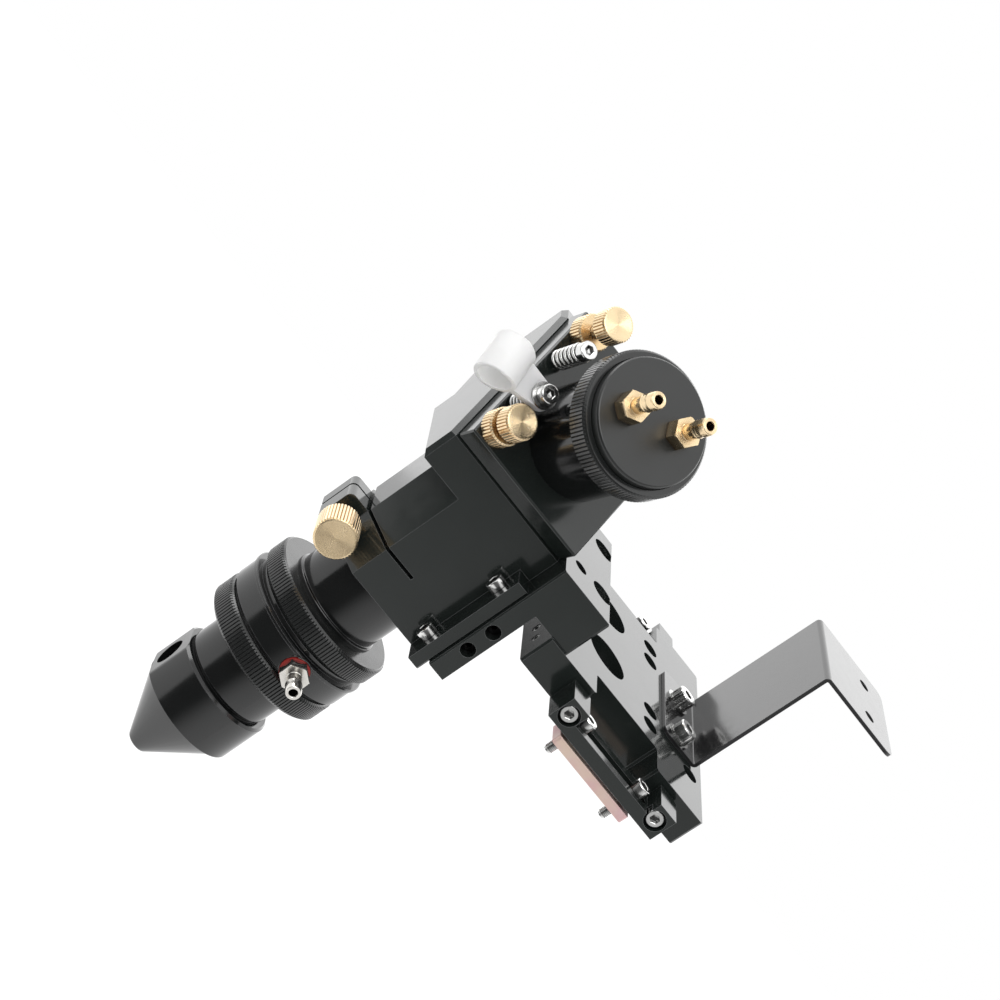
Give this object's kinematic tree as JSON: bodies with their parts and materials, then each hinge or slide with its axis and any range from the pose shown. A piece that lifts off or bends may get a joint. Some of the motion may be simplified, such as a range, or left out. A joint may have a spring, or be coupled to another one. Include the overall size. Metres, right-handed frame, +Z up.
{
  "type": "laser cutting head",
  "caption": "Laser cutting head with water-cooled 45 degree mirror mount, clamped focus tube with nozzle and gas fitting, angle piece, belt carriage plate and cable-chain bracket.",
  "frame": {"origin": "centre of the nozzle's outlet at its tip, on the optical axis", "axes": "+Z up along the optical axis, -Y the side that the mirror mount faces, +X towards the carriage plate"},
  "size_m": [0.1765, 0.13, 0.2046],
  "materials": {
    "black_anodised": "satin black anodised",
    "black_knurled": "satin black anodised, straight knurl",
    "black_sheet": "semi-gloss black",
    "brass": "bright turned, knurled",
    "nickel": "nickel plated",
    "steel": "bright zinc or stainless",
    "black_screw": "black oxide",
    "zinc_yellow": "yellow chromate over zinc",
    "nylon": "milky translucent",
    "red_seal": "fibre washer",
    "black_seal": "matt",
    "lens_glass": "polished, coated",
    "mirror_face": "gold coated"
  },
  "bodies": {
    "carrier": {"body": "black_anodised", "flange_screws": "steel", "angle_piece": "black_anodised", "bar_set_screws": "black_screw", "top_screws": "steel", "carriage_plate": "black_anodised", "end_set_screws": "steel", "front_clamp_bar": "black_anodised", "front_clamp_jaw": "zinc_yellow", "rear_clamp_bar": "black_anodised", "rear_clamp_jaw": "zinc_yellow", "tension_screws": "steel", "jaw_screws": "steel", "chain_bracket": "black_sheet", "foot_screws": "steel", "foot_washers": "steel", "upper_spring_screw": "steel", "lower_spring_screw": "steel", "upper_spring": "steel", "lower_spring": "steel", "clip_washer": "steel"},
    "clamp_knob": {"clamp_thumb_screw": "brass"},
    "lens_unit": {"focus_tube": "black_anodised", "focus_lens": "lens_glass", "lens_seal": "black_seal", "lens_retainer": "black_anodised"},
    "air_unit": {"air_ring": "black_anodised", "air_barb": "nickel", "air_barb_seal": "red_seal", "nozzle_tube": "black_anodised"},
    "upper_ring": {"upper_lock_ring": "black_knurled"},
    "lower_ring": {"lower_lock_ring": "black_knurled"},
    "nozzle_unit": {"nozzle": "black_anodised"},
    "mirror_mount": {"mirror_plate": "black_anodised", "mirror_barrel": "black_anodised", "mirror": "mirror_face", "mirror_seal": "black_seal", "cooling_cover": "black_anodised", "water_barbs": "brass"},
    "mirror_ring": {"mirror_lock_ring": "black_knurled"},
    "upper_thumb": {"upper_thumb_screw": "brass"},
    "lower_thumb": {"lower_thumb_screw": "brass"},
    "far_thumb": {"far_thumb_screw": "brass"},
    "upper_nut": {"upper_thumb_nut": "brass"},
    "lower_nut": {"lower_thumb_nut": "brass"},
    "far_nut": {"far_thumb_nut": "brass"},
    "clip": {"cable_clip": "nylon"}
  },
  "joints": [
    {"name": "focus_slide", "type": "slide", "parent": "carrier", "child": "lens_unit", "axis": [0, 0, 1], "range_m": [-0.01, 0.013]},
    {"name": "clamp_turn", "type": "hinge", "parent": "carrier", "child": "clamp_knob", "pos_m": [-0.0219, -0.0084, 0.0966], "axis": [0, -1, 0], "range_deg": [0, 360]},
    {"name": "air_swivel", "type": "hinge", "parent": "lens_unit", "child": "air_unit", "pos_m": [0, 0, 0.0616], "axis": [0, 0, 1], "continuous": true},
    {"name": "upper_ring_turn", "type": "hinge", "parent": "lens_unit", "child": "upper_ring", "pos_m": [0, 0, 0.0725], "axis": [0, 0, 1], "continuous": true},
    {"name": "lower_ring_turn", "type": "hinge", "parent": "air_unit", "child": "lower_ring", "pos_m": [0, 0, 0.053], "axis": [0, 0, 1], "continuous": true},
    {"name": "nozzle_turn", "type": "hinge", "parent": "air_unit", "child": "nozzle_unit", "pos_m": [0, 0, 0.027], "axis": [0, 0, 1], "continuous": true},
    {"name": "mirror_tilt", "type": "hinge", "parent": "carrier", "child": "mirror_mount", "pos_m": [0, 0.01544, 0.17474], "axis": [-1, 0, 0], "range_deg": [0, 0.9], "deforming": ["upper_spring", "lower_spring"]},
    {"name": "mirror_ring_turn", "type": "hinge", "parent": "mirror_mount", "child": "mirror_ring", "pos_m": [0, -0.02828, 0.18508], "axis": [0, -0.7071, 0.7071], "continuous": true},
    {"name": "upper_thumb_turn", "type": "hinge", "parent": "mirror_mount", "child": "upper_thumb", "pos_m": [-0.02, 0.00608, 0.18409], "axis": [0, 0.7071, -0.7071], "range_deg": [-360, 360]},
    {"name": "upper_nut_turn", "type": "hinge", "parent": "mirror_mount", "child": "upper_nut", "pos_m": [-0.02, 0.00749, 0.18268], "axis": [0, 0.7071, -0.7071], "continuous": true},
    {"name": "lower_thumb_turn", "type": "hinge", "parent": "mirror_mount", "child": "lower_thumb", "pos_m": [-0.0199, -0.02334, 0.15468], "axis": [0, 0.7071, -0.7071], "range_deg": [0, 336]},
    {"name": "lower_nut_turn", "type": "hinge", "parent": "mirror_mount", "child": "lower_nut", "pos_m": [-0.0199, -0.02192, 0.15326], "axis": [0, 0.7071, -0.7071], "continuous": true},
    {"name": "far_thumb_turn", "type": "hinge", "parent": "mirror_mount", "child": "far_thumb", "pos_m": [0.0174, 0.00608, 0.18409], "axis": [0, 0.7071, -0.7071], "range_deg": [-360, 360]},
    {"name": "far_nut_turn", "type": "hinge", "parent": "mirror_mount", "child": "far_nut", "pos_m": [0.0174, 0.00749, 0.18268], "axis": [0, 0.7071, -0.7071], "continuous": true},
    {"name": "clip_swivel", "type": "hinge", "parent": "carrier", "child": "clip", "pos_m": [-0.0208, -0.02206, 0.16726], "axis": [0, 0.7071, -0.7071], "range_deg": [0, 40]}
  ],
  "couplings": [
    {"joint": "mirror_tilt", "follows": "lower_thumb_turn", "ratio": 0.0026781}
  ]
}
